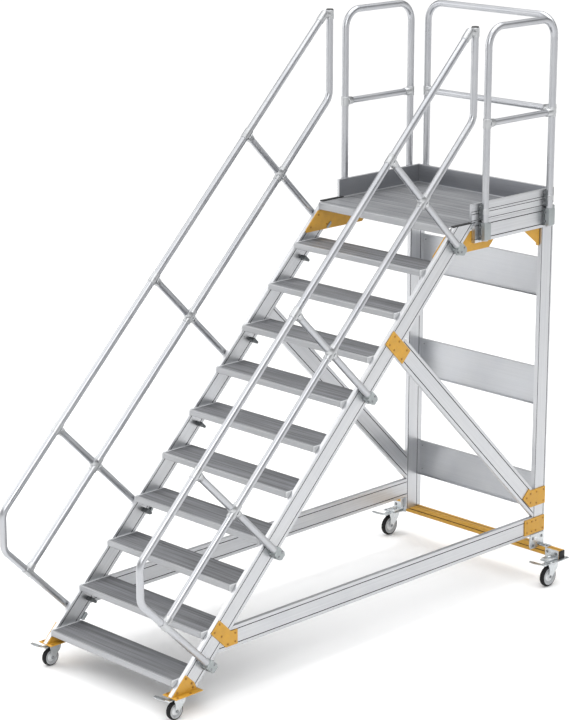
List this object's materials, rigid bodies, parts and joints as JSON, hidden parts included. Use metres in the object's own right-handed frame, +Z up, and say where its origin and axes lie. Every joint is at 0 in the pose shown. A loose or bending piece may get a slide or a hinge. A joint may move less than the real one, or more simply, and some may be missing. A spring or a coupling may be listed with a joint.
{
  "type": "mobile ladder stand",
  "caption": "Wheeled stair ladder with handrails, a guarded platform with toe boards, a braced rear frame, an outrigger beam and swivel castors with brake pedals.",
  "frame": {"origin": "on the floor, on the plane that halves the stair's width, midway between the handrail's front end and the rear castor plates", "axes": "+Z up, +Y from the foot of the stair towards the platform, +X to the right of a person climbing"},
  "size_m": [1.437, 3.308, 3.396],
  "materials": {
    "profile": "satin extruded",
    "tube": "satin extruded",
    "tread": "ribbed mill finish",
    "sheet": "mill finish",
    "bracket": "ochre-yellow powder coat",
    "castor_metal": "zinc plated",
    "tyre": "matte rubber"
  },
  "bodies": {
    "frame": {"tread_01": "tread", "tread_02": "tread", "tread_03": "tread", "tread_04": "tread", "tread_05": "tread", "tread_06": "tread", "tread_07": "tread", "tread_08": "tread", "tread_09": "tread", "tread_10": "tread", "deck": "tread", "stringer_left": "profile", "stringer_right": "profile", "side_frame_left": "profile", "side_frame_right": "profile", "rear_frame": "profile", "toe_board_left": "profile", "toe_board_right": "profile", "toe_board_rear": "profile", "rear_post_left": "profile", "rear_post_right": "profile", "brace_left": "profile", "brace_right": "profile", "bottom_rail_left": "profile", "bottom_rail_right": "profile", "guard_rail_left": "tube", "guard_rail_right": "tube", "guard_rail_rear": "tube", "knee_rail_left": "tube", "knee_rail_right": "tube", "knee_rail_rear": "tube", "handrail_left": "tube", "handrail_right": "tube", "mid_rail_left": "tube", "mid_rail_right": "tube", "cross_panel_lower": "sheet", "cross_panel_middle": "sheet", "cross_panel_upper": "sheet", "brace_gusset_left": "bracket", "rail_gusset_left": "bracket", "top_bracket_left": "bracket", "front_foot_left": "bracket", "brace_gusset_right": "bracket", "rail_gusset_right": "bracket", "top_bracket_right": "bracket", "front_foot_right": "bracket", "outrigger_beam": "bracket"},
    "swivel_front_left": {"fork_front_left": "castor_metal"},
    "roller_front_left": {"wheel_front_left": "tyre"},
    "brake_front_left": {"pedal_front_left": "castor_metal"},
    "swivel_front_right": {"fork_front_right": "castor_metal"},
    "roller_front_right": {"wheel_front_right": "tyre"},
    "brake_front_right": {"pedal_front_right": "castor_metal"},
    "swivel_rear_left": {"fork_rear_left": "castor_metal"},
    "roller_rear_left": {"wheel_rear_left": "tyre"},
    "brake_rear_left": {"pedal_rear_left": "castor_metal"},
    "swivel_rear_right": {"fork_rear_right": "castor_metal"},
    "roller_rear_right": {"wheel_rear_right": "tyre"},
    "brake_rear_right": {"pedal_rear_right": "castor_metal"}
  },
  "joints": [
    {"name": "swivel_turn_front_left", "type": "hinge", "parent": "frame", "child": "swivel_front_left", "pos_m": [-0.507, -1.34, 0.1215], "axis": [0, 0, 1], "continuous": true},
    {"name": "wheel_spin_front_left", "type": "hinge", "parent": "swivel_front_left", "child": "roller_front_left", "pos_m": [-0.507, -1.374, 0.05], "axis": [1, 0, 0], "continuous": true},
    {"name": "brake_press_front_left", "type": "hinge", "parent": "swivel_front_left", "child": "brake_front_left", "pos_m": [-0.497, -1.404, 0.1115], "axis": [0, 1, 0], "range_deg": [-14, 0]},
    {"name": "swivel_turn_front_right", "type": "hinge", "parent": "frame", "child": "swivel_front_right", "pos_m": [0.507, -1.34, 0.1215], "axis": [0, 0, 1], "continuous": true},
    {"name": "wheel_spin_front_right", "type": "hinge", "parent": "swivel_front_right", "child": "roller_front_right", "pos_m": [0.507, -1.374, 0.05], "axis": [1, 0, 0], "continuous": true},
    {"name": "brake_press_front_right", "type": "hinge", "parent": "swivel_front_right", "child": "brake_front_right", "pos_m": [0.517, -1.404, 0.1115], "axis": [0, 1, 0], "range_deg": [-14, 0]},
    {"name": "swivel_turn_rear_left", "type": "hinge", "parent": "frame", "child": "swivel_rear_left", "pos_m": [-0.645, 1.55, 0.1485], "axis": [0, 0, 1], "continuous": true},
    {"name": "wheel_spin_rear_left", "type": "hinge", "parent": "swivel_rear_left", "child": "roller_rear_left", "pos_m": [-0.645, 1.508, 0.0625], "axis": [1, 0, 0], "continuous": true},
    {"name": "brake_press_rear_left", "type": "hinge", "parent": "swivel_rear_left", "child": "brake_rear_left", "pos_m": [-0.635, 1.478, 0.1385], "axis": [0, 1, 0], "range_deg": [-14, 0]},
    {"name": "swivel_turn_rear_right", "type": "hinge", "parent": "frame", "child": "swivel_rear_right", "pos_m": [0.645, 1.55, 0.1485], "axis": [0, 0, 1], "continuous": true},
    {"name": "wheel_spin_rear_right", "type": "hinge", "parent": "swivel_rear_right", "child": "roller_rear_right", "pos_m": [0.645, 1.508, 0.0625], "axis": [1, 0, 0], "continuous": true},
    {"name": "brake_press_rear_right", "type": "hinge", "parent": "swivel_rear_right", "child": "brake_rear_right", "pos_m": [0.655, 1.478, 0.1385], "axis": [0, 1, 0], "range_deg": [-14, 0]}
  ]
}
